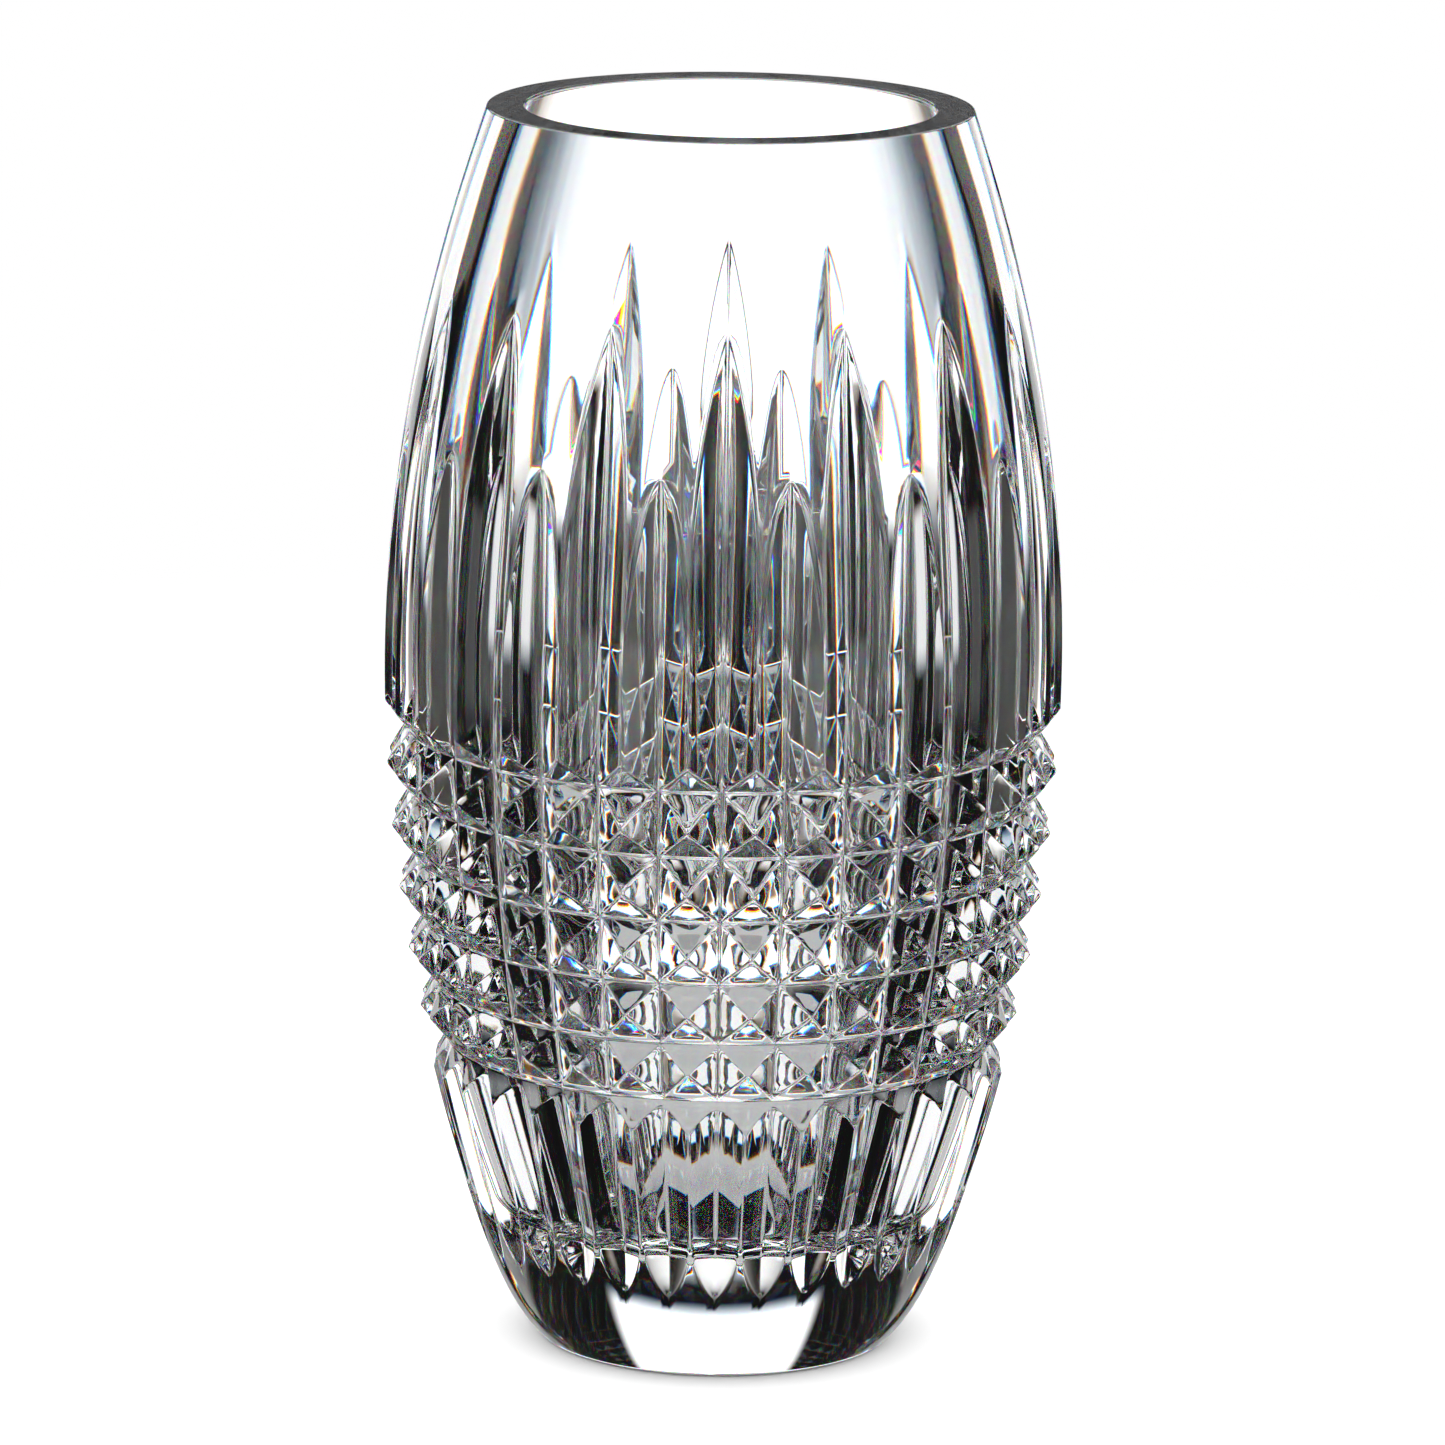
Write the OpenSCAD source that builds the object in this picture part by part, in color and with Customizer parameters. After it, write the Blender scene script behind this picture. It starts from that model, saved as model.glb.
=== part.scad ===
// Cut crystal vase: one thick barrel of clear glass. Upright vee cuts run up into long and short
// spear points, and level ring cuts cross them to leave rows of four-sided diamonds.
// Units are millimetres. The base stands on z = 0 and the axis of the barrel is Z.

/* [Body] */
// Height from the base to the rim
height = 254; // [210:1:310]
// Widest outside diameter of the barrel, before cutting
belly_d = 138; // [114:1:166]
// Height of the widest place
belly_h = 141; // [130:1:150]
// Outside diameter at the rim
rim_d = 98; // [84:1:112]
// How long the upper wall stays full before it turns in
shoulder_curve = 1.95; // [1.8:0.05:2.2]
// How far the lower wall draws in from the belly to the foot
foot_draw = 29; // [24:0.5:34]
// How much further the foot tucks in just above the base
foot_tuck = 4; // [2:0.5:5]
// How close to the base the tuck stays: more keeps it lower
tuck_curve = 21; // [14:1:30]
// Radius of the rounded heel
heel_round = 3; // [2:0.5:4]

/* [Cavity] */
// Wall thickness at the rim, measured level
rim_wall = 8; // [6.5:0.25:10]
// Wall thickness just above the cavity floor, measured level
floor_wall = 11; // [9:0.25:14]
// Thickness of the solid base under the cavity
base_thick = 26; // [20:0.5:34]
// Radius of the corner between the cavity floor and its wall
floor_round = 10; // [6:0.5:14]
// Bevel polished on both edges of the rim
rim_bevel = 0.5; // [0.25:0.05:1]

/* [Upright cuts] */
// Number of upright cuts, long and short in turn
upright_cuts = 32; // [24:2:40]
// Angle of the vee cut by the wheel
vee_angle = 112; // [104:1:118]
// Distance from the rim down to the long spear points
long_tip_drop = 35; // [28:0.5:44]
// Distance from the rim down to the short spear points
short_tip_drop = 64; // [52:0.5:78]
// Length in which a long cut reaches its full depth
long_run = 46; // [36:1:56]
// Length in which a short cut reaches its full depth
short_run = 36; // [28:1:44]
// Height where the cuts run out above the foot
foot_tip_h = 19.5; // [17:0.5:24]
// Length in which a cut runs out at the foot
foot_run = 15; // [10:1:20]

/* [Ring cuts] */
// Number of ring cuts
ring_cuts = 6; // [4:1:7]
// Height of the top ring cut
top_ring_h = 127.5; // [106:0.5:154]
// Depth of a ring cut below the uncut wall
ring_depth = 4.6; // [3.8:0.1:5.6]
// Angle of the vee of a ring cut
ring_angle = 108; // [100:1:114]
// Tilt of the wheel, so that a ring cut sits square to the sloping wall
ring_tilt = 5.5; // [3:0.5:7]
// Ring spacing as a share of the column width: 1 makes the diamonds square
diamond_ratio = 1.0; // [0.9:0.05:1.1]

/* [Hidden] */

// Angles that the columns and the vee cuts share
column_angle = 360 / upright_cuts;
half_column = column_angle / 2;
vee_half = vee_angle / 2;

// Gain in radius per millimetre of height on the two flanks of a ring cut
upper_flank = tan(90 - ring_angle / 2 + ring_tilt);
lower_flank = tan(90 - ring_angle / 2 - ring_tilt);

// Heights of the two rows of spear points
long_tip_h = height - long_tip_drop;
short_tip_h = height - short_tip_drop;

// Outside radius of the uncut wall at height z
function wall_r(z) =
    z > belly_h
    ? belly_d / 2 - (belly_d - rim_d) / 2 * pow((z - belly_h) / (height - belly_h), shoulder_curve)
    : belly_d / 2 - foot_draw * pow(1 - z / belly_h, 2) - foot_tuck * pow(1 - z / belly_h, tuck_curve);

// Inside radius at height z
function cavity_r(z) =
    wall_r(z) - rim_wall
    - (floor_wall - rim_wall) * pow((height - z) / (height - base_thick), 2);

// Each ring cut lies about one column width below the last, so that the diamonds stay square
function ring_below(h) = h - diamond_ratio * 2 * PI * wall_r(h) / upright_cuts;
function rings_from(h, count) = count == 0 ? [] : concat([h], rings_from(ring_below(h), count - 1));
ring_heights = rings_from(top_ring_h, ring_cuts);

// Radius at the bottom of the ring cut at height h, and of its flanks at height z
function ring_bottom(h) = wall_r(h) - ring_depth;
function ring_flank(h, z) = ring_bottom(h) + (z > h ? (z - h) * upper_flank : (h - z) * lower_flank);
function skin_r(z) = min(wall_r(z), min([for (h = ring_heights) ring_flank(h, z)]));

// Height where the flanks of two neighbouring ring cuts meet
function ridge_between(high, low) =
    (ring_bottom(high) - ring_bottom(low) + lower_flank * high + upper_flank * low)
    / (lower_flank + upper_flank);

// Heights where the two flanks of the ring cut at height h come out on the uncut wall
function upper_end(h) =
    let (guess = h + ring_depth / upper_flank)
    h + (wall_r(guess) - ring_bottom(h)) / upper_flank;
function lower_end(h) =
    let (guess = h - ring_depth / lower_flank)
    h - (wall_r(guess) - ring_bottom(h)) / lower_flank;

// Between two ring cuts: their shared ridge, or both edges of the wall left between them
function rows_between(high, low) =
    upper_end(low) < lower_end(high)
    ? [upper_end(low), lower_end(high)]
    : [ridge_between(high, low)];
band_top = upper_end(top_ring_h);
band_end = lower_end(ring_heights[ring_cuts - 1]);

// Shape of each end of an upright cut: fullness bends the run-out, bluntness rounds its point
long_fullness = 2;
long_bluntness = 1;
short_fullness = 1.15;
short_bluntness = 0.5;
foot_fullness = 2;
foot_bluntness = 0.75;

// How far an upright cut is in, from 0 at its point to 1 at full depth
function run_share(d, run, fullness, bluntness) =
    d <= 0 ? 0 : d >= run ? 1 : pow(1 - pow(1 - d / run, fullness), bluntness);
function cut_share(z, long) = min(
    long
    ? run_share(long_tip_h - z, long_run, long_fullness, long_bluntness)
    : run_share(short_tip_h - z, short_run, short_fullness, short_bluntness),
    run_share(z - foot_tip_h, foot_run, foot_fullness, foot_bluntness)
);

// At full depth the flanks of neighbouring cuts meet in a sharp ridge on the uncut wall
full_share = 1 - sin(vee_half - half_column) / sin(vee_half);
function groove_r(z, long) = wall_r(z) * (1 - full_share * cut_share(z, long));
function flank_r(z, long, angle) = groove_r(z, long) * sin(vee_half) / sin(vee_half - angle);

// Angle from the bottom of an upright cut to its edge at height z
function edge_angle(z, long) =
    groove_r(z, long) >= skin_r(z)
    ? 0
    : min(half_column, vee_half - asin(groove_r(z, long) * sin(vee_half) / skin_r(z)));

// Heel: an arc that meets the wall in line, whose slope is taken between two low heights
slope_low = 0.8;
slope_high = 1.2;
heel_slope = atan((wall_r(slope_high) - wall_r(slope_low)) / (slope_high - slope_low));
heel_top = heel_round * (1 - sin(heel_slope));
foot_flat_r = wall_r(heel_top) - heel_round * cos(heel_slope);
function outside_r(z) =
    z < heel_top
    ? foot_flat_r + sqrt(max(0, heel_round * heel_round - pow(heel_round - z, 2)))
    : skin_r(z);

// Heights at which the surface has points: at every crease, and a few in between
least_row_gap = 0.15;
heel_step = 20;
heel_margin = 8;
foot_row_count = 4;
long_row_count = 5;
shoulder_row_count = 4;
foot_run_shares = [0, 0.06, 0.2, 0.45, 0.72, 1];
short_run_shares = [1, 0.7, 0.45, 0.25, 0.12, 0.04, 0];
function spread(low, high, count) = [for (i = [0:count - 1]) low + (high - low) * i / count];
heel_rows = [for (a = [90:-heel_step:heel_slope + heel_margin]) heel_round * (1 - sin(a))];
foot_rows = spread(heel_top, foot_tip_h, foot_row_count);
foot_run_rows = [for (s = foot_run_shares) foot_tip_h + foot_run * s];
flute_row = (foot_tip_h + foot_run + band_end) / 2;
ring_rows = [
    for (i = [0:ring_cuts - 1])
    each concat([ring_heights[i]], i > 0 ? rows_between(ring_heights[i - 1], ring_heights[i]) : [])
];
spear_row = (band_top + short_tip_h - short_run) / 2;
short_rows = [for (s = short_run_shares) short_tip_h - short_run * s];
long_rows = spread(short_tip_h, long_tip_h, long_row_count);
shoulder_rows = spread(long_tip_h, height - rim_bevel, shoulder_row_count);

// In rising order, each height once
function rising(list) =
    len(list) < 2
    ? list
    : let (
        pivot = list[floor(len(list) / 2)],
        lower = [for (z = list) if (z < pivot) z],
        higher = [for (z = list) if (z > pivot) z]
    )
    concat(rising(lower), [pivot], rising(higher));
all_rows = rising(concat(
    heel_rows, foot_rows, foot_run_rows, [flute_row, band_end], ring_rows,
    [band_top, spear_row], short_rows, long_rows, shoulder_rows, [height - rim_bevel]
));
rows = concat(
    [for (i = [0:len(all_rows) - 1]) if (i == 0 || all_rows[i] - all_rows[i - 1] > least_row_gap) all_rows[i]],
    [height]
);
row_count = len(rows);

// Four points a column: left edge, bottom and right edge of the cut, then the ridge beside it
points_a_row = 4 * upright_cuts;
function is_long(column) = column % 2 == 0;
function edge_of(row, column) = edge_angle(rows[row], is_long(column));
function point_angle(row, i) =
    let (column = floor(i / 4), place = i % 4)
    column * column_angle - 90
    + (place == 0 ? -edge_of(row, column)
        : place == 1 ? 0
        : place == 2 ? edge_of(row, column)
        : half_column);
function point_r(row, i) =
    let (column = floor(i / 4), place = i % 4, z = rows[row], long = is_long(column))
    z > height - rim_bevel ? wall_r(z) - rim_bevel
    : place == 1 ? min(groove_r(z, long), outside_r(z))
    : place == 3 ? min(outside_r(z), flank_r(z, long, half_column), flank_r(z, !long, half_column))
    : min(outside_r(z), flank_r(z, long, edge_of(row, column)));
function surface_point(row, i) =
    let (r = point_r(row, i), a = point_angle(row, i)) [r * cos(a), r * sin(a), rows[row]];

// Where a cut has no width, or fills its column, its edge is the same point as its neighbour
function shared_place(row, i) =
    let (column = floor(i / 4), place = i % 4, edge = edge_of(row, column))
    place % 2 == 1 ? i
    : edge <= 0 ? column * 4 + 1
    : edge >= half_column ? (i + (place == 0 ? -1 : 1) + points_a_row) % points_a_row
    : i;
function point_id(row, i) = row * points_a_row + shared_place(row, i % points_a_row);

// A ring of points as one flat face, each shared point once
function ring_face(row) = [
    for (i = [0:points_a_row - 1])
    if (shared_place(row, i) == i) row * points_a_row + i
];
function reversed(list) = [for (i = [len(list) - 1:-1:0]) list[i]];
function is_real(t) = t[0] != t[1] && t[1] != t[2] && t[0] != t[2];
wall_triangles = [
    for (row = [0:row_count - 2], i = [0:points_a_row - 1])
    let (
        a = point_id(row, i),
        b = point_id(row, i + 1),
        c = point_id(row + 1, i + 1),
        d = point_id(row + 1, i)
    )
    each [for (t = [[a, c, b], [a, d, c]]) if (is_real(t)) t]
];

// The glass before it is hollowed
module cut_barrel() {
    polyhedron(
        points = [for (row = [0:row_count - 1], i = [0:points_a_row - 1]) surface_point(row, i)],
        faces = concat(wall_triangles, [ring_face(0)], [reversed(ring_face(row_count - 1))]),
        convexity = 12
    );
}

// The hollow: a flat floor, a round corner, the curved wall and the bevel at the rim
cavity_steps = 11;
corner_top = base_thick + floor_round;
corner_r = cavity_r(corner_top) - floor_round;
rim_in_r = cavity_r(height);
module cavity() {
    rotate_extrude($fn = 128)
    polygon(concat(
        [[0, base_thick], [corner_r, base_thick]],
        [for (a = [-75:15:-15]) [corner_r + floor_round * cos(a), corner_top + floor_round * sin(a)]],
        [for (z = spread(corner_top, height - rim_bevel, cavity_steps)) [cavity_r(z), z]],
        [[rim_in_r, height - rim_bevel], [rim_in_r + 2 * rim_bevel, height + rim_bevel], [0, height + rim_bevel]]
    ));
}

module vase_body() {
    color("aliceblue", 0.5)
    difference() {
        cut_barrel();
        cavity();
    }
}

vase_body();
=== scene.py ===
# %% [markdown]
# # A cut crystal vase
#
# The real vase is one thick barrel of clear lead crystal. A cutter rolled it against a
# wheel to make long and short upright cuts, then spun it against the wheel for six level
# rings, and the crossing cuts left rows of small four-sided diamonds. It was acid polished,
# so every edge is crisp but not knife sharp. This lesson makes that one piece, its glass,
# and a light room around it, because glass only shows what stands around it.

# %% Load the frame
import bpy
import numpy as np
from mathutils import Matrix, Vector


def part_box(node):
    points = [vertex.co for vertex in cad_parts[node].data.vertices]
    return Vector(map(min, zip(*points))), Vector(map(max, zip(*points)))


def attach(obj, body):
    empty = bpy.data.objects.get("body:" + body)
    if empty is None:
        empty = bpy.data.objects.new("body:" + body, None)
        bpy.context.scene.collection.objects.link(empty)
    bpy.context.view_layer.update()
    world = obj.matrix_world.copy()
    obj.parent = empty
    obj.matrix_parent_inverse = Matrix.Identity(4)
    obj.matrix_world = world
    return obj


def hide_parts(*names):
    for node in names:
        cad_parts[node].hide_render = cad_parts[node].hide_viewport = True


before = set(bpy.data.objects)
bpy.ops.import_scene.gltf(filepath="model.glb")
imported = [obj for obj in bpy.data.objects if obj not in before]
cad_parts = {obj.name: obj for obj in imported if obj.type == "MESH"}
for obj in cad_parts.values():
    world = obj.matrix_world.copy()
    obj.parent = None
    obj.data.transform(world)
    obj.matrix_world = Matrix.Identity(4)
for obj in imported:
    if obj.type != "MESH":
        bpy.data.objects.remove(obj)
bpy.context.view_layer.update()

vase_low, vase_high = (np.array(corner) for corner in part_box("vase_body"))
MM = 0.001
HEIGHT = (vase_high[2] - vase_low[2]) / MM
print("vase height in millimetres:", round(HEIGHT, 1))

# %% [markdown]
# ## The barrel before it is cut
#
# A glass blower gives the barrel its outline. It could be drawn by hand as a curve, but two
# formulas say it better: a power curve that turns in from the belly to the rim, and a
# parabola from the belly to the foot with a sharp tuck just above the base. Every later
# cut is measured from this wall, so it comes first. All sizes are in millimetres.

# %% The outline of the wall
BELLY_R = 69.0
BELLY_H = 141.0
RIM_R = 49.0
SHOULDER_CURVE = 1.95
FOOT_DRAW = 29.0
FOOT_TUCK = 4.0
TUCK_CURVE = 21.0


def wall_r(z):
    """Uncut radius at height z: the belly radius less a power of the way up to the rim,
    or less a parabola and a steep power of the way down to the base."""
    up = np.clip((z - BELLY_H) / (HEIGHT - BELLY_H), 0, None)
    down = np.clip(1 - z / BELLY_H, 0, None)
    return (
        BELLY_R
        - (BELLY_R - RIM_R) * up**SHOULDER_CURVE
        - FOOT_DRAW * down**2
        - FOOT_TUCK * down**TUCK_CURVE
    )


print("radius at foot, belly and rim:", [round(float(wall_r(z)), 1) for z in (3.0, BELLY_H, HEIGHT)])

# %% [markdown]
# ## The cuts as formulas
#
# The cuts could be made with boolean wedges, but those leave thousands of thin triangles and
# knife edges. Here each cut is a radius: the barrel is wherever the smallest of them is. A
# soft minimum rounds every ridge a little, and a soft absolute value rounds the bottom of
# every groove, as the polishing acid does. Those two roundings catch the thin bright lines
# that make cut glass look real.

# %% Soft corners
EDGE_SOFT = 0.17
GROOVE_SOFT = 0.28


def soft_min(a, b):
    """The smaller of a and b, with the corner where they cross rounded by EDGE_SOFT."""
    return (a + b - np.sqrt((a - b) ** 2 + EDGE_SOFT**2)) / 2


# %% Ring cuts
RING_COUNT = 6
TOP_RING_H = 127.5
RING_DEPTH = 4.6
RING_ANGLE = 108.0
RING_TILT = 5.5
COLUMN_COUNT = 32
UPPER_SLOPE = np.tan(np.radians(90 - RING_ANGLE / 2 + RING_TILT))
LOWER_SLOPE = np.tan(np.radians(90 - RING_ANGLE / 2 - RING_TILT))

ring_heights = [TOP_RING_H]
for _ in range(RING_COUNT - 1):
    above = ring_heights[-1]
    ring_heights.append(above - 2 * np.pi * float(wall_r(above)) / COLUMN_COUNT)


def ring_cut_r(z, ring_h):
    """Radius of one ring cut: two straight flanks that rise from its bottom, the upper one
    steeper, joined by a rounded bottom."""
    away = z - ring_h
    bottom = wall_r(ring_h) - RING_DEPTH
    rounded = np.sqrt(away**2 + GROOVE_SOFT**2)
    return bottom + ((UPPER_SLOPE - LOWER_SLOPE) * away + (UPPER_SLOPE + LOWER_SLOPE) * rounded) / 2


def skin_r(z):
    """Radius of the wall with its ring cuts, before any upright cut."""
    skin = wall_r(z)
    for ring_h in ring_heights:
        skin = soft_min(skin, ring_cut_r(z, ring_h))
    return skin


print("ring cuts at", [round(h, 1) for h in ring_heights])

# %% Upright cuts
VEE_HALF = 56.0
COLUMN = 360 / COLUMN_COUNT
HALF_COLUMN = COLUMN / 2
LONG_TIP_H, LONG_RUN, LONG_FULLNESS, LONG_BLUNTNESS = 219.0, 46.0, 2.0, 1.0
SHORT_TIP_H, SHORT_RUN, SHORT_FULLNESS, SHORT_BLUNTNESS = 190.0, 36.0, 1.15, 0.5
FOOT_TIP_H, FOOT_RUN, FOOT_FULLNESS, FOOT_BLUNTNESS = 19.5, 15.0, 2.0, 0.75
FULL_SHARE = 1 - np.sin(np.radians(VEE_HALF - HALF_COLUMN)) / np.sin(np.radians(VEE_HALF))
TIP_EASE = 0.006


def run_share(inside, run, fullness, bluntness):
    """How deep a cut is at a distance inside its tip: 1 past the run, 0 at the tip, and
    below 0 outside the tip, where the cut stays clear of the wall. TIP_EASE keeps a blunt
    tip from starting with a step."""
    eased = 1 - np.clip(1 - inside / run, 0, 2) ** fullness
    inner = (np.maximum(eased, 0) + TIP_EASE) ** bluntness - TIP_EASE**bluntness
    outer = np.minimum(eased, 0) * bluntness * TIP_EASE ** (bluntness - 1)
    return (inner + outer) / ((1 + TIP_EASE) ** bluntness - TIP_EASE**bluntness)


def cut_share(z, is_long):
    """How deep an upright cut is at height z, from its upper tip and its tip at the foot."""
    if is_long:
        top = run_share(LONG_TIP_H - z, LONG_RUN, LONG_FULLNESS, LONG_BLUNTNESS)
    else:
        top = run_share(SHORT_TIP_H - z, SHORT_RUN, SHORT_FULLNESS, SHORT_BLUNTNESS)
    return np.minimum(top, run_share(z - FOOT_TIP_H, FOOT_RUN, FOOT_FULLNESS, FOOT_BLUNTNESS))


def groove_r(z, is_long):
    """Radius of the bottom of an upright cut. At full depth neighbouring cuts meet in a ridge."""
    return wall_r(z) * (1 - FULL_SHARE * cut_share(z, is_long))


def flank_r(z, is_long, turn):
    """Radius of a flat flank at an angle of turn degrees from the bottom of its cut: a
    straight line in a level section, by the sine rule."""
    rounded = np.sqrt(turn**2 + np.degrees(GROOVE_SOFT / BELLY_R) ** 2)
    half = np.radians(VEE_HALF)
    return groove_r(z, is_long) * np.sin(half) / np.sin(half - np.radians(rounded))


def glass_r(z, turn):
    """Outside radius at height z and turn degrees from the nearest long cut."""
    long_flank = flank_r(z, True, np.abs(turn))
    short_flank = flank_r(z, False, COLUMN - np.abs(turn))
    return soft_min(soft_min(skin_r(z), long_flank), short_flank)


print("depth of an upright cut at the belly:", round(BELLY_R * FULL_SHARE, 2))

# %% [markdown]
# ## A grid that follows the cuts
#
# A plain grid would smear every ridge. This grid has rows at the heights where the shape
# turns, and each column of 11.25 degrees has grid lines that follow the edges of its cut, so
# ridges and groove bottoms are always on a grid line. Above a spear tip, and wherever two
# cuts meet, several grid lines run together; those points are merged later.

# %% Where the edges of a cut run
LEAST_STRIP = 0.03


def hard_skin_r(z):
    """The wall with its ring cuts, with sharp corners, to place the grid lines."""
    skin = wall_r(z)
    for ring_h in ring_heights:
        away = z - ring_h
        slope = np.where(away > 0, UPPER_SLOPE, -LOWER_SLOPE)
        skin = np.minimum(skin, wall_r(ring_h) - RING_DEPTH + slope * away)
    return skin


def edge_turn(z, is_long):
    """Angle from the bottom of a cut to its edge, in degrees: nothing where there's no cut,
    and half a column where it meets its neighbour."""
    half = np.radians(VEE_HALF)
    inner = np.clip(groove_r(z, is_long) * np.sin(half) / hard_skin_r(z), 0, np.sin(half))
    turn = np.clip(VEE_HALF - np.degrees(np.arcsin(inner)), 0, HALF_COLUMN)
    turn = np.where(turn < LEAST_STRIP, 0, turn)
    return np.where(HALF_COLUMN - turn < LEAST_STRIP, HALF_COLUMN, turn)


print("edge of a long cut at the belly:", round(float(edge_turn(BELLY_H, True)), 2), "degrees")

# %% Heights of the rows
HEEL_ROUND = 3.0
HEEL_LOW, HEEL_HIGH = 0.8, 1.2
heel_slope = np.arctan((wall_r(HEEL_HIGH) - wall_r(HEEL_LOW)) / (HEEL_HIGH - HEEL_LOW))
heel_top = HEEL_ROUND * (1 - np.sin(heel_slope))
heel_flat_r = wall_r(heel_top) - HEEL_ROUND * np.cos(heel_slope)
RIM_ROUND = 0.5
RIM_STEP = 2.0
rim_slope = np.arctan((wall_r(HEIGHT - RIM_STEP) - wall_r(HEIGHT)) / RIM_STEP)
rim_round_h = HEIGHT - RIM_ROUND * (1 - np.sin(rim_slope))
BESIDE_CREASE = np.array([-0.45, -0.12, 0, 0.12, 0.45])


def ridge_between(high, low):
    """Height where the lower flank of one ring cut meets the upper flank of the next."""
    lift = wall_r(high) - wall_r(low) + LOWER_SLOPE * high + UPPER_SLOPE * low
    return float(lift / (LOWER_SLOPE + UPPER_SLOPE))


BAND_END_SHARE = 0.8
THIRDS = (0.33, 0.66)
SHORT_SHARES = np.array([0, 0.004, 0.015, 0.035, 0.07, 0.12, 0.2, 0.3, 0.45, 0.7, 1])
LONG_SHARES = np.array([0, 0.012, 0.03, 0.06, 0.1, 0.17, 0.25, 0.35, 0.45, 0.56, 0.66, 0.78, 0.9, 1])
FOOT_SHARES = np.array([0.01, 0.04, 0.09, 0.16, 0.25, 0.38, 0.55, 0.75, 1])
HEEL_ROWS, FLUTE_ROWS, SPEAR_ROWS, SHOULDER_ROWS = 7, 5, 6, 8
ABOVE_BAND = 2.0
ROW_GAP = 0.05
band_top = TOP_RING_H + RING_DEPTH / UPPER_SLOPE
band_end = ring_heights[-1] - RING_DEPTH * BAND_END_SHARE / LOWER_SLOPE
creases = ring_heights + [ridge_between(a, b) for a, b in zip(ring_heights, ring_heights[1:])]
crease_rows = np.add.outer(np.array(creases + [band_top]), BESIDE_CREASE).ravel()
between = np.sort(creases + [band_top, band_end])
flank_rows = np.concatenate([between[:-1] + np.diff(between) * share for share in THIRDS])
cut_rows = np.concatenate([
    np.linspace(heel_top, FOOT_TIP_H, HEEL_ROWS),
    FOOT_TIP_H + FOOT_RUN * FOOT_SHARES,
    np.linspace(FOOT_TIP_H + FOOT_RUN, band_end, FLUTE_ROWS),
    crease_rows,
    flank_rows,
    np.linspace(band_top + ABOVE_BAND, SHORT_TIP_H - SHORT_RUN, SPEAR_ROWS),
    SHORT_TIP_H - SHORT_RUN * SHORT_SHARES,
    LONG_TIP_H - LONG_RUN * LONG_SHARES,
    np.linspace(LONG_TIP_H, rim_round_h, SHOULDER_ROWS),
])
cut_rows = np.sort(cut_rows)
cut_rows = cut_rows[np.concatenate([[True], np.diff(cut_rows) > ROW_GAP])]
print("rows on the outside:", len(cut_rows))

# %% Grid lines of one column
FLANK_LINES = np.array([0, 0.035, 0.12, 0.5, 0.88, 0.965])
SKIN_LINES = np.array([0, 0.06, 0.4, 0.7])
flank_part = np.concatenate([FLANK_LINES, np.ones(len(SKIN_LINES))])
skin_part = np.concatenate([np.zeros(len(FLANK_LINES)), SKIN_LINES])
line_side = np.concatenate([-np.ones(1), -np.ones(len(flank_part) - 1), np.ones(len(flank_part))])
line_flank = np.concatenate([[1.0], flank_part[:0:-1], flank_part])
line_skin = np.concatenate([[1.0], skin_part[:0:-1], skin_part])


def line_turns(edge):
    """Angle of each grid line of a column from the bottom of its cut, for rows whose cut
    edge is at these angles: a share of the flank, then a share of the strip beside it."""
    return line_side * (np.outer(edge, line_flank) + np.outer(HALF_COLUMN - edge, line_skin))


print("grid lines around:", COLUMN_COUNT * len(line_side))

# %% [markdown]
# ## Rim, hollow, floor and base
#
# The rest of the vase is turned, so a profile is enough: from the centre of the base out to
# the rounded heel, and from the ground rim down the hollow to the centre of its floor. Each
# stretch gives its radius, height and the direction it faces. Together with the cut rows
# they make one closed skin with real thickness, because glass only bends light correctly
# when both of its sides are there.

# %% Turned stretches
RIM_WALL = 8.0
FLOOR_WALL = 11.0
BASE_THICK = 26.0
FLOOR_ROUND = 10.0
SLOPE_REACH = 0.1
MOUTH_BELOW_RIM = 1.0
LEAN_SHARE = 0.72
HOLLOW_ROWS, HEEL_ARC_ROWS, RIM_ARC_ROWS, RIM_FLAT_ROWS, FLOOR_ARC_ROWS = 42, 7, 5, 6, 12
BASE_SHARES = np.array([0, 0.5, 0.9])
FLOOR_SHARES = np.array([0.75, 0.4, 0])


def cavity_r(z):
    """Inside radius: the wall is RIM_WALL thick at the rim and FLOOR_WALL near the floor."""
    down = (HEIGHT - z) / (HEIGHT - BASE_THICK)
    return wall_r(z) - RIM_WALL - (FLOOR_WALL - RIM_WALL) * down**2


def arc(centre_r, centre_z, radius, start, stop, steps, facing=1):
    """Rows of a round corner: radius, height, and the two parts of its normal."""
    a = np.radians(np.linspace(start, stop, steps))
    return np.stack([
        centre_r + radius * np.cos(a), centre_z + radius * np.sin(a),
        facing * np.cos(a), facing * np.sin(a),
    ], 1)


def flat(radii, z, up):
    """Level rows that face up or down."""
    radii = np.asarray(radii, float)
    return np.stack([radii, np.full_like(radii, z), np.zeros_like(radii), np.full_like(radii, up)], 1)


def inner_slope(z):
    """Slope of the hollow's wall at height z."""
    return (cavity_r(z + SLOPE_REACH) - cavity_r(z - SLOPE_REACH)) / (2 * SLOPE_REACH)


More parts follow.
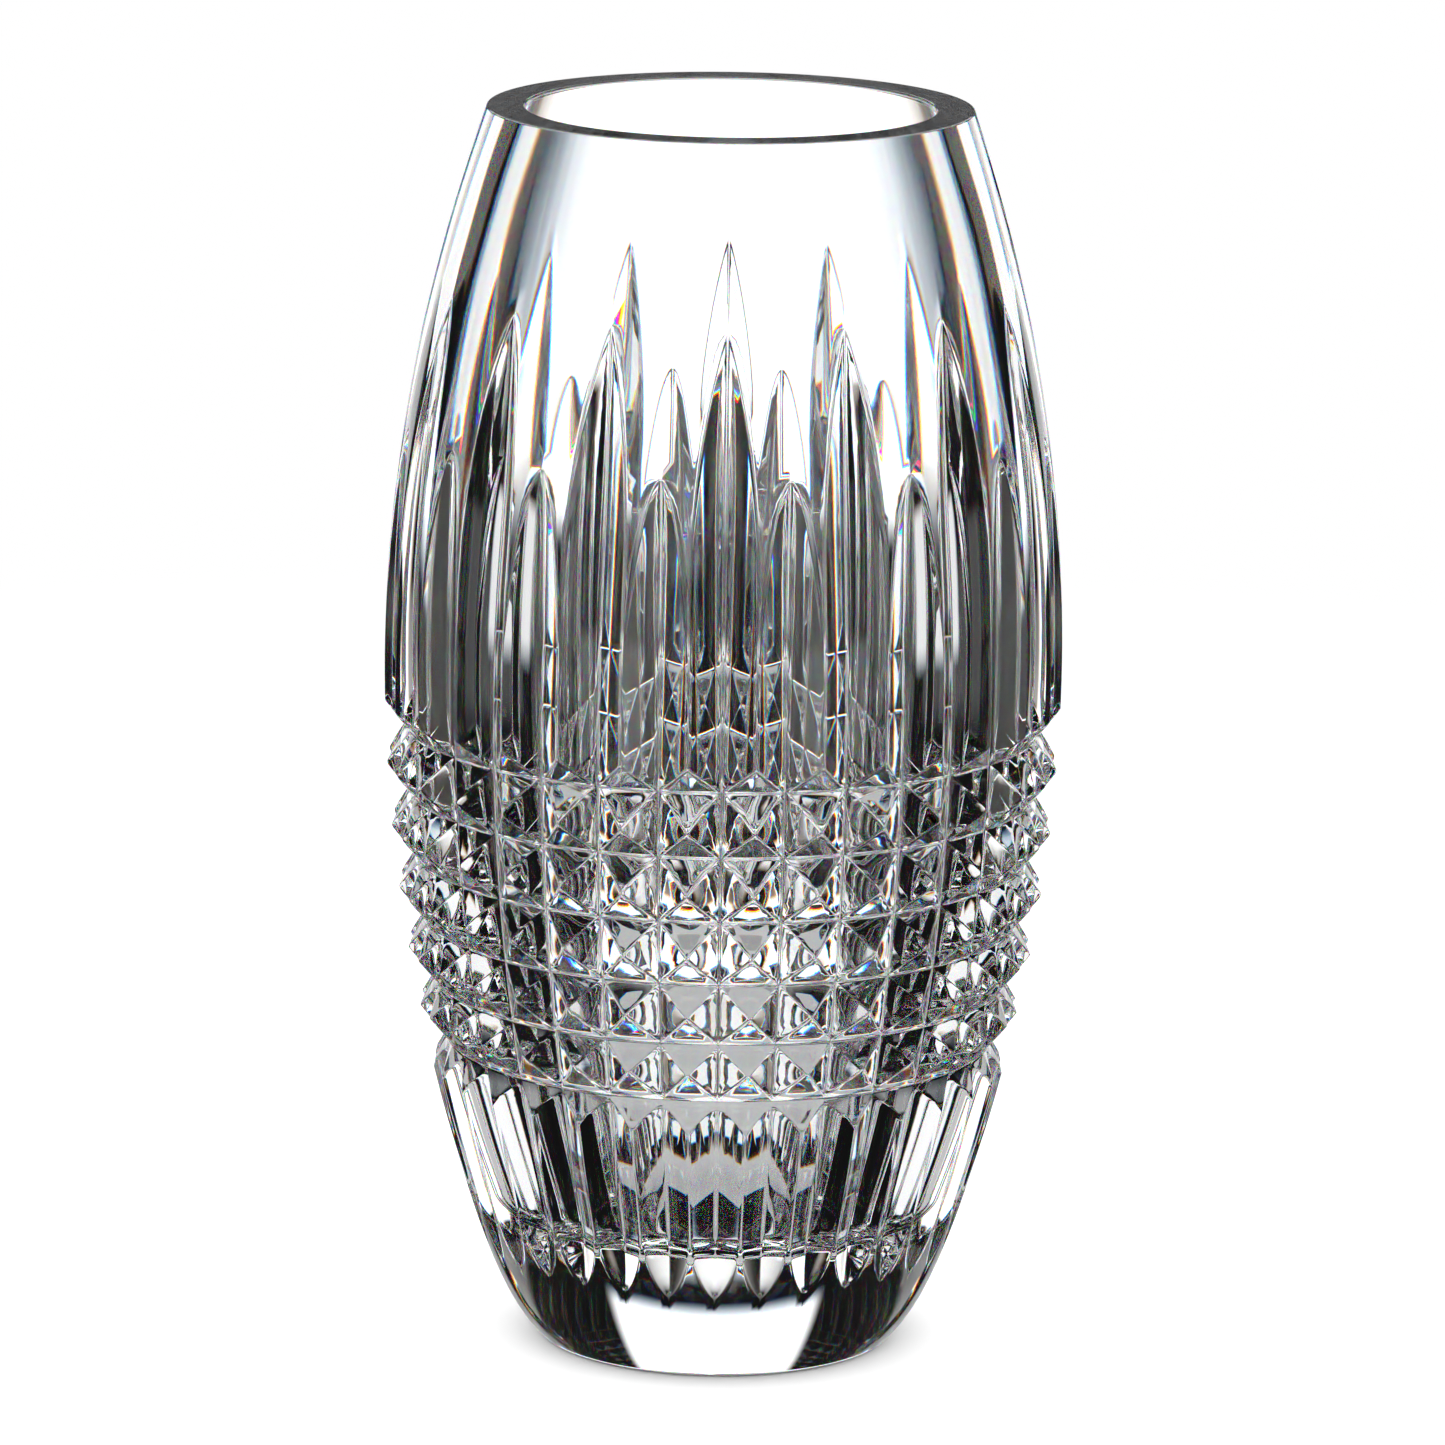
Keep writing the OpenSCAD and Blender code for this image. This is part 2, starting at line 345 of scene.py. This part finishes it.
rim_r = wall_r(rim_round_h) - RIM_ROUND * np.cos(rim_slope)
rim_tilt = np.degrees(rim_slope)
mouth_tilt = np.degrees(np.arctan(-inner_slope(HEIGHT - MOUTH_BELOW_RIM)))
mouth_h = HEIGHT - RIM_ROUND * (1 + np.sin(np.radians(mouth_tilt)))
mouth_r = cavity_r(mouth_h) + RIM_ROUND * np.cos(np.radians(mouth_tilt))
lean = np.arctan(inner_slope(BASE_THICK + LEAN_SHARE * FLOOR_ROUND))
corner_h = BASE_THICK + FLOOR_ROUND * (1 - np.sin(lean))
corner_r = cavity_r(corner_h) - FLOOR_ROUND * np.cos(lean)
hollow_z = np.linspace(mouth_h, corner_h, HOLLOW_ROWS)[1:-1]
hollow_slope = inner_slope(hollow_z)
hollow_length = np.hypot(1, hollow_slope)
hollow = np.stack([cavity_r(hollow_z), hollow_z, -1 / hollow_length, hollow_slope / hollow_length], 1)

before_cuts = np.concatenate([
    flat(heel_flat_r * BASE_SHARES, 0, -1),
    arc(heel_flat_r, HEEL_ROUND, HEEL_ROUND, -90, -np.degrees(heel_slope), HEEL_ARC_ROWS)[:-1],
])
after_cuts = np.concatenate([
    arc(rim_r, HEIGHT - RIM_ROUND, RIM_ROUND, rim_tilt, 90, RIM_ARC_ROWS)[1:],
    flat(np.linspace(rim_r, mouth_r, RIM_FLAT_ROWS)[1:-1], HEIGHT, 1),
    arc(mouth_r, HEIGHT - RIM_ROUND, RIM_ROUND, 90, 180 + mouth_tilt, RIM_ARC_ROWS),
    hollow,
    arc(corner_r, BASE_THICK + FLOOR_ROUND, FLOOR_ROUND, -np.degrees(lean), -90, FLOOR_ARC_ROWS, facing=-1),
    flat(corner_r * FLOOR_SHARES, BASE_THICK, 1),
])
print("mouth of the hollow:", round(2 * float(cavity_r(HEIGHT)), 1), "across")

# %% [markdown]
# ## Put the skin together
#
# All rows become one array of points. Points that fall together are found by rounding their
# row and angle and keeping one of each, so poles and spear tips close exactly. The normals
# are worked out from the formulas, not from the facets, so broad flanks stay optically flat
# and reflections run smoothly along the curved wall.

# %% Points and normals
SLOPE_STEP = 0.002
FIRST_COLUMN = -90.0


def turned_rows(profile):
    """Radius, height, normal and angle arrays for rows of a turned stretch."""
    turns = line_turns(np.zeros(len(profile)))
    shape = (len(profile), COLUMN_COUNT, len(line_side))
    spread = [np.broadcast_to(profile[:, i, None, None], shape) for i in range(4)]
    return *spread, np.broadcast_to(turns[:, None, :], shape), np.zeros(shape)


def cut_rows_skin(z):
    """Radius, height, level and upward parts of the normal, angle, and sideways part of the
    normal for the cut rows. The slopes come from small steps of the formula."""
    shape = (len(z), COLUMN_COUNT, len(line_side))
    tall = np.broadcast_to(z[:, None, None], shape)
    is_long = np.arange(COLUMN_COUNT) % 2 == 0
    long_turns = line_turns(edge_turn(z, True))[:, None, :]
    short_turns = line_turns(edge_turn(z, False))[:, None, :]
    turns = np.where(is_long[:, None], long_turns, short_turns)
    from_long = np.where(is_long[:, None], turns, COLUMN - np.abs(turns))
    toward = np.where(is_long[:, None], 1.0, -np.sign(turns))
    radius = glass_r(tall, from_long)
    upward = glass_r(tall + SLOPE_STEP, from_long) - glass_r(tall - SLOPE_STEP, from_long)
    upward = upward / (2 * SLOPE_STEP)
    sideways = glass_r(tall, from_long + SLOPE_STEP) - glass_r(tall, from_long - SLOPE_STEP)
    sideways = sideways / np.radians(2 * SLOPE_STEP)
    sideways = sideways * toward / radius
    length = np.sqrt(1 + upward**2 + sideways**2)
    return radius, tall, 1 / length, -upward / length, turns, -sideways / length


parts = [turned_rows(before_cuts), cut_rows_skin(cut_rows), turned_rows(after_cuts)]
radius, tall, level, upward, turns, sideways = (np.concatenate(p) for p in zip(*parts))
azimuth = (FIRST_COLUMN + np.arange(COLUMN_COUNT)[:, None] * COLUMN + turns) % 360
azimuth = np.where(radius < ROW_GAP, 0, azimuth)
row_count = len(radius)
radius, tall, level, upward, azimuth, sideways = (
    a.reshape(row_count, -1) for a in (radius, tall, level, upward, azimuth, sideways)
)
a = np.radians(azimuth)
points = np.stack([radius * np.cos(a), radius * np.sin(a), tall], -1) * MM
normals = np.stack([
    level * np.cos(a) - sideways * np.sin(a),
    level * np.sin(a) + sideways * np.cos(a),
    upward,
], -1)
print("grid:", row_count, "rows of", radius.shape[1])

# %% Merge the points that fall together
ANGLE_STEPS = 100000
keys = np.round(azimuth * ANGLE_STEPS).astype(np.int64) % (360 * ANGLE_STEPS)
keys = keys + np.arange(row_count)[:, None] * 360 * ANGLE_STEPS
_, first, merged = np.unique(keys.ravel(), return_index=True, return_inverse=True)
ids = merged.reshape(keys.shape)
here, beside = ids[:-1], np.roll(ids, -1, 1)[:-1]
over, over_beside = ids[1:], np.roll(ids, -1, 1)[1:]
quads = np.stack([here, beside, over_beside, over], -1).reshape(-1, 4)
repeats = quads == np.roll(quads, -1, 1)
whole = quads[~repeats.any(1)]
thinned = quads[repeats.sum(1) == 1]
kept_corners = ~repeats[repeats.sum(1) == 1]
corners = thinned[kept_corners].reshape(-1, 3)
print("quads", len(whole), "triangles", len(corners), "in all", 2 * len(whole) + len(corners), "triangles")

# %% Make the vase
mesh = bpy.data.meshes.new("vase_body_glass")
mesh.from_pydata(points.reshape(-1, 3)[first].tolist(), [], whole.tolist() + corners.tolist())
mesh.polygons.foreach_set("use_smooth", np.ones(len(mesh.polygons), bool))
mesh.normals_split_custom_set_from_vertices(normals.reshape(-1, 3)[first].tolist())
vase = bpy.data.objects.new("cut_vase", mesh)
bpy.context.scene.collection.objects.link(vase)
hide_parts("vase_body")
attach(vase, "root")
print("vertices", len(mesh.vertices))

# %% [markdown]
# ## Building materials from nodes
#
# A material is a net of small nodes. Making each one by hand takes four lines, so a few
# helpers add a node, feed it and return what comes out. A smooth ramp does most of the work
# in this scene: it turns a height, an angle or a noise into a mask from 0 to 1.

# %% Node helpers
def add_node(tree, kind, **settings):
    """A new node with some of its settings."""
    node = tree.nodes.new(kind)
    for name, value in settings.items():
        setattr(node, name, value)
    return node


def feed(tree, source, target):
    """Link a socket to an input, or write a plain value into it."""
    if isinstance(source, bpy.types.NodeSocket):
        tree.links.new(source, target)
    else:
        target.default_value = source


def maths(tree, operation, first_value, second_value=0.0, clamp=False):
    """The result of one Math node."""
    node = add_node(tree, "ShaderNodeMath", operation=operation, use_clamp=clamp)
    feed(tree, first_value, node.inputs[0])
    feed(tree, second_value, node.inputs[1])
    return node.outputs[0]


def ramp(tree, value, start, stop, at_start=0.0, at_stop=1.0):
    """A smooth change from at_start to at_stop as value goes from start to stop."""
    node = add_node(tree, "ShaderNodeMapRange", interpolation_type="SMOOTHSTEP")
    feed(tree, value, node.inputs["Value"])
    limits = {"From Min": start, "From Max": stop, "To Min": at_start, "To Max": at_stop}
    for name, number in limits.items():
        feed(tree, number, node.inputs[name])
    return node.outputs[0]


print("node helpers ready: add_node, feed, maths, ramp")

# %% [markdown]
# ## The crystal
#
# Lead crystal bends light more than window glass. The Principled shader with full
# transmission gives the bending and the mirror-like faces. Nothing made by hand is perfectly
# even, so a broad, very shallow noise bends the surface a little. It goes through a Bump
# node, because it is far too shallow to be worth any points in the mesh.

# %% The glass and its faint waves
CRYSTAL_IOR = 1.55
CRYSTAL_TINT = (0.98, 0.986, 0.99, 1)
WAVE_SCALE = 22.0
WAVE_HEIGHT = 0.0004
WAVE_STRENGTH = 0.5
crystal = bpy.data.materials.new("crystal")
crystal.use_nodes = True
tree = crystal.node_tree
glass = next(n for n in tree.nodes if n.type == "BSDF_PRINCIPLED")
out = next(n for n in tree.nodes if n.type == "OUTPUT_MATERIAL")
place = add_node(tree, "ShaderNodeTexCoord").outputs["Object"]
waves = add_node(tree, "ShaderNodeTexNoise")
tree.links.new(place, waves.inputs["Vector"])
waves.inputs["Scale"].default_value = WAVE_SCALE
waves.inputs["Detail"].default_value = 1.0
uneven = add_node(tree, "ShaderNodeBump")
uneven.inputs["Strength"].default_value = WAVE_STRENGTH
uneven.inputs["Distance"].default_value = WAVE_HEIGHT
tree.links.new(waves.outputs["Fac"], uneven.inputs["Height"])
glass.inputs["Transmission Weight"].default_value = 1.0
glass.inputs["IOR"].default_value = CRYSTAL_IOR
tree.links.new(uneven.outputs["Normal"], glass.inputs["Normal"])
print("crystal bends light by", glass.inputs["IOR"].default_value)

# %% [markdown]
# ## The ground rim
#
# The rim is ground flat on a wheel and never polished as bright as the walls. It stays a
# little grey and carries fine rings from the wheel. It could be a second piece, but it is
# the same glass, so a mask picks the level faces at the very top. The rings are a noise
# stretched by the distance from the axis, so it changes fast outwards and slowly round.

# %% Where the rim was ground
RIM_LEVEL = (0.8, 0.95)
GROUND_ROUGHNESS = 0.16
GROUND_TINT = (0.5, 0.5, 0.51, 1)
STREAK_SCALE = 900.0
STREAK_NOISE = {"Scale": 30.0, "Detail": 4.0, "Roughness": 0.6}
STREAK_RANGE = (0.35, 0.65)
LEAST_TINT, LEAST_ROUGH = 0.55, 0.4
axes = add_node(tree, "ShaderNodeSeparateXYZ")
tree.links.new(place, axes.inputs[0])
facing = add_node(tree, "ShaderNodeSeparateXYZ")
tree.links.new(add_node(tree, "ShaderNodeNewGeometry").outputs["True Normal"], facing.inputs[0])
at_top = ramp(tree, axes.outputs["Z"], (HEIGHT - RIM_ROUND) * MM, (HEIGHT - RIM_ROUND / 4) * MM)
is_level = ramp(tree, maths(tree, "ABSOLUTE", facing.outputs["Z"]), *RIM_LEVEL)
ground = maths(tree, "MULTIPLY", at_top, is_level)
across = maths(tree, "POWER", axes.outputs["X"], 2.0)
along = maths(tree, "POWER", axes.outputs["Y"], 2.0)
from_axis = maths(tree, "SQRT", maths(tree, "ADD", across, along))
streaks = add_node(tree, "ShaderNodeTexNoise", noise_dimensions="4D")
tree.links.new(place, streaks.inputs["Vector"])
tree.links.new(maths(tree, "MULTIPLY", from_axis, STREAK_SCALE), streaks.inputs["W"])
for name, number in STREAK_NOISE.items():
    streaks.inputs[name].default_value = number
streak = ramp(tree, streaks.outputs["Fac"], *STREAK_RANGE)
print("ground faces lie above", HEIGHT - RIM_ROUND, "millimetres")

# %% Colour and roughness of the rim
tint = add_node(tree, "ShaderNodeMix", data_type="RGBA")
greyness = maths(tree, "MULTIPLY", ground, ramp(tree, streak, 0.0, 1.0, LEAST_TINT, 1.0))
tree.links.new(greyness, tint.inputs["Factor"])
tint.inputs["A"].default_value = CRYSTAL_TINT
tint.inputs["B"].default_value = GROUND_TINT
rough_streak = maths(tree, "MULTIPLY", ramp(tree, streak, 0.0, 1.0, LEAST_ROUGH, 1.0), GROUND_ROUGHNESS)
roughness = maths(tree, "MULTIPLY", ground, rough_streak)
tree.links.new(tint.outputs["Result"], glass.inputs["Base Color"])
tree.links.new(roughness, glass.inputs["Roughness"])
print("the rim is up to", GROUND_ROUGHNESS, "rough; the rest is smooth")

# %% [markdown]
# ## Rainbow lines
#
# Crystal bends blue more than red, which puts rainbow lines beside the cuts. Tracing every
# colour through every face would be slow and grainy. Here only the first face that is seen
# splits the light, through one glass for each of red, green and blue, and the plain glass
# does the rest. That is a short cut: real crystal splits light at each face it crosses.

# %% Glass that splits light
COLOUR_SPREAD = 0.005


def one_colour(channel, ior):
    """A glass that passes one of red, green and blue, bent by its own amount."""
    single = add_node(tree, "ShaderNodeBsdfGlass")
    split = add_node(tree, "ShaderNodeSeparateColor")
    join = add_node(tree, "ShaderNodeCombineColor")
    tree.links.new(tint.outputs["Result"], split.inputs[0])
    tree.links.new(split.outputs[channel], join.inputs[channel])
    tree.links.new(join.outputs[0], single.inputs["Color"])
    tree.links.new(roughness, single.inputs["Roughness"])
    single.inputs["IOR"].default_value = ior
    tree.links.new(uneven.outputs["Normal"], single.inputs["Normal"])
    return single.outputs[0]


red_and_green = add_node(tree, "ShaderNodeAddShader")
tree.links.new(one_colour(0, CRYSTAL_IOR - COLOUR_SPREAD), red_and_green.inputs[0])
tree.links.new(one_colour(1, CRYSTAL_IOR), red_and_green.inputs[1])
spread = add_node(tree, "ShaderNodeAddShader")
tree.links.new(red_and_green.outputs[0], spread.inputs[0])
tree.links.new(one_colour(2, CRYSTAL_IOR + COLOUR_SPREAD), spread.inputs[1])
first_hit = add_node(tree, "ShaderNodeMixShader")
tree.links.new(add_node(tree, "ShaderNodeLightPath").outputs["Is Camera Ray"], first_hit.inputs[0])
tree.links.new(glass.outputs[0], first_hit.inputs[1])
tree.links.new(spread.outputs[0], first_hit.inputs[2])
tree.links.new(first_hit.outputs[0], out.inputs["Surface"])
vase.data.materials.append(crystal)
print("red, green and blue bend by", CRYSTAL_IOR - COLOUR_SPREAD, CRYSTAL_IOR, CRYSTAL_IOR + COLOUR_SPREAD)

# %% [markdown]
# ## Light
#
# Glass shows what is around it, so the room matters as much as the shape. A studio lights cut
# glass from behind with a white screen and leaves dark gaps at its sides: the screen shows
# white through flat walls and the gaps draw the black lines. The room could be built from
# panels, but here the world itself is bright in some directions and dark in others, which
# lets each patch have its own bearing, height and softness. A bearing of 0 is behind the
# vase and 180 is behind the camera.

# %% Directions in the room
world = bpy.data.worlds.new("studio")
bpy.context.scene.world = world
world.use_nodes = True
tree = world.node_tree
background = next(n for n in tree.nodes if n.type == "BACKGROUND")
direction = add_node(tree, "ShaderNodeSeparateXYZ")
tree.links.new(add_node(tree, "ShaderNodeTexCoord").outputs["Generated"], direction.inputs[0])
to_degrees = 180 / np.pi
bearing = maths(tree, "ARCTAN2", direction.outputs["X"], direction.outputs["Y"])
bearing = maths(tree, "ABSOLUTE", maths(tree, "MULTIPLY", bearing, to_degrees))
rise = maths(tree, "MULTIPLY", maths(tree, "ARCSINE", direction.outputs["Z"]), to_degrees)


def band(value, low, high, soft):
    """1 where value is between low and high, fading to 0 over a soft margin at each end."""
    rising = ramp(tree, value, low - soft, low)
    falling = ramp(tree, value, high, high + soft, 1.0, 0.0)
    return maths(tree, "MULTIPLY", rising, falling)


def patch(turns, rises, level, soft=3.0):
    """A bright patch of the room, between two bearings and two elevations."""
    both = maths(tree, "MULTIPLY", band(bearing, *turns, soft), band(rise, *rises, soft))
    return maths(tree, "MULTIPLY", both, level)


print("directions ready, in degrees")

# %% Bright and dark patches
LIGHT_LEVEL = 1.45
DIFFUSE_LEVEL = 2.2
DARK = 0.004
TABLE_FADE = 9.0
WING_FADE = 2.5
TABLE_NEAR = 0.42
SCREEN_HALF = 19.0
FRONT_LEVEL = 0.35
SIDE_LEVEL = 0.62
CORNER_LEVEL = 0.75
GREY_SIDE = 0.05
BEHIND_CAMERA = 0.7
BELOW_LEVEL = 0.3
ALL_BEHIND = -9.0
patches = [
    patch((ALL_BEHIND, 5), (-13, 0), 1.0, soft=TABLE_FADE),
    patch((19, 31), (-9, 4), 1.0, soft=WING_FADE),
    patch((ALL_BEHIND, 20), (-70, -14), TABLE_NEAR),
    patch((ALL_BEHIND, SCREEN_HALF), (14, 46), 1.0),
    patch((120, 150), (8, 30), FRONT_LEVEL),
    patch((81, 99), (-9, 2), SIDE_LEVEL),
    patch((32, 58), (-33, -19), CORNER_LEVEL),
    patch((122, 148), (-21, -9), CORNER_LEVEL),
    patch((66, 92), (-13, -5), GREY_SIDE),
    patch((150, 190), (2, 16), BEHIND_CAMERA),
    ramp(tree, rise, -75, -60, BELOW_LEVEL, 0.0),
]
lit = DARK
for one in patches:
    lit = maths(tree, "MAXIMUM", lit, one)
lit = maths(tree, "MULTIPLY", lit, LIGHT_LEVEL)
print("patches in the room:", len(patches))

# %% What each kind of ray sees
paths = add_node(tree, "ShaderNodeLightPath")
on_floor = maths(tree, "MULTIPLY", paths.outputs["Is Diffuse Ray"], DIFFUSE_LEVEL)
plain = maths(tree, "MAXIMUM", paths.outputs["Is Camera Ray"], on_floor)
lit = maths(tree, "MAXIMUM", lit, plain)
background.inputs["Color"].default_value = (1, 1, 1, 1)
tree.links.new(lit, background.inputs["Strength"])
print("the camera sees plain white; the floor is lit at", DIFFUSE_LEVEL)

# %% [markdown]
# ## The floor
#
# The vase stands on a plain pale table. It could be a big white plane, but then every cut
# would show it, and a lit table is only white where light reaches it. So the plane is seen
# by the camera, fades to pure white away from the vase, and lets all other rays through to
# the room. What is left of it is the soft shadow under the heel.

# %% The floor
FLOOR_HALF = 8.0
FLOOR_DROP = 0.0002
FLOOR_COLOUR = (0.97, 0.97, 0.97, 1)
FADE_FROM, FADE_TO = 0.15, 0.8
floor_corners = [(x * FLOOR_HALF, y * FLOOR_HALF, 0) for x, y in ((-1, -1), (1, -1), (1, 1), (-1, 1))]
floor_mesh = bpy.data.meshes.new("floor")
floor_mesh.from_pydata(floor_corners, [], [(0, 1, 2, 3)])
floor = bpy.data.objects.new("floor", floor_mesh)
bpy.context.scene.collection.objects.link(floor)
floor.location.z = -FLOOR_DROP
print("floor", 2 * FLOOR_HALF, "metres square")

# %% Light table material
table = bpy.data.materials.new("light_table")
table.use_nodes = True
tree = table.node_tree
tree.nodes.clear()
out = add_node(tree, "ShaderNodeOutputMaterial")
paths = add_node(tree, "ShaderNodeLightPath")
matt = add_node(tree, "ShaderNodeBsdfDiffuse")
matt.inputs["Color"].default_value = FLOOR_COLOUR
glow = add_node(tree, "ShaderNodeEmission")
through = add_node(tree, "ShaderNodeBsdfTransparent")
place = add_node(tree, "ShaderNodeTexCoord")
length = add_node(tree, "ShaderNodeVectorMath", operation="LENGTH")
tree.links.new(place.outputs["Object"], length.inputs[0])
far = ramp(tree, length.outputs["Value"], FADE_FROM, FADE_TO)
seen = add_node(tree, "ShaderNodeMixShader")
tree.links.new(far, seen.inputs[0])
tree.links.new(matt.outputs[0], seen.inputs[1])
tree.links.new(glow.outputs[0], seen.inputs[2])
either = add_node(tree, "ShaderNodeMixShader")
tree.links.new(paths.outputs["Is Camera Ray"], either.inputs[0])
tree.links.new(through.outputs[0], either.inputs[1])
tree.links.new(seen.outputs[0], either.inputs[2])
tree.links.new(either.outputs[0], out.inputs["Surface"])
floor_mesh.materials.append(table)
print("the table turns plain white", FADE_TO, "metres out")

# %% [markdown]
# ## Camera
#
# A long lens from slightly above keeps the barrel's sides nearly parallel.

# %% The camera
CAMERA_BACK, CAMERA_UP, LOOK_AT_H = 1.78712, 0.51778, 0.12765
LENS, ROLL = 224.1, 0.0138
SENSOR_WIDTH = 36
FAR_LIMIT = 100
eye = np.array([0, -CAMERA_BACK, CAMERA_UP])
forward = np.array([0, 0, LOOK_AT_H]) - eye
forward /= np.linalg.norm(forward)
right = np.cross(forward, [0, 0, 1])
right /= np.linalg.norm(right)
up = np.cross(right, forward)
leaned_right = np.cos(ROLL) * right + np.sin(ROLL) * up
leaned_up = np.cos(ROLL) * up - np.sin(ROLL) * right
camera_data = bpy.data.cameras.new("camera")
camera_data.lens = LENS
camera_data.sensor_width = SENSOR_WIDTH
camera_data.clip_end = FAR_LIMIT
camera = bpy.data.objects.new("camera", camera_data)
bpy.context.scene.collection.objects.link(camera)
rows = [[leaned_right[i], leaned_up[i], -forward[i], eye[i]] for i in range(3)]
camera.matrix_world = Matrix(rows + [[0, 0, 0, 1]])
bpy.context.scene.camera = camera
print("camera", round(float(np.linalg.norm(eye)), 2), "metres from the foot of the vase")

# %% [markdown]
# ## Tracing light through cut glass
#
# A ray can cross the wall, the hollow and the far wall and bounce inside a diamond on its
# way, so too few bounces turn the glass black. The plain Standard view keeps white white.

# %% How light is traced
GLASS_BOUNCES = 32
MIRROR_BOUNCES = 16
scene = bpy.context.scene
scene.view_settings.view_transform = "Standard"
scene.cycles.max_bounces = GLASS_BOUNCES
scene.cycles.transmission_bounces = GLASS_BOUNCES
scene.cycles.glossy_bounces = MIRROR_BOUNCES
scene.cycles.transparent_max_bounces = GLASS_BOUNCES
print("light may cross", GLASS_BOUNCES, "faces")
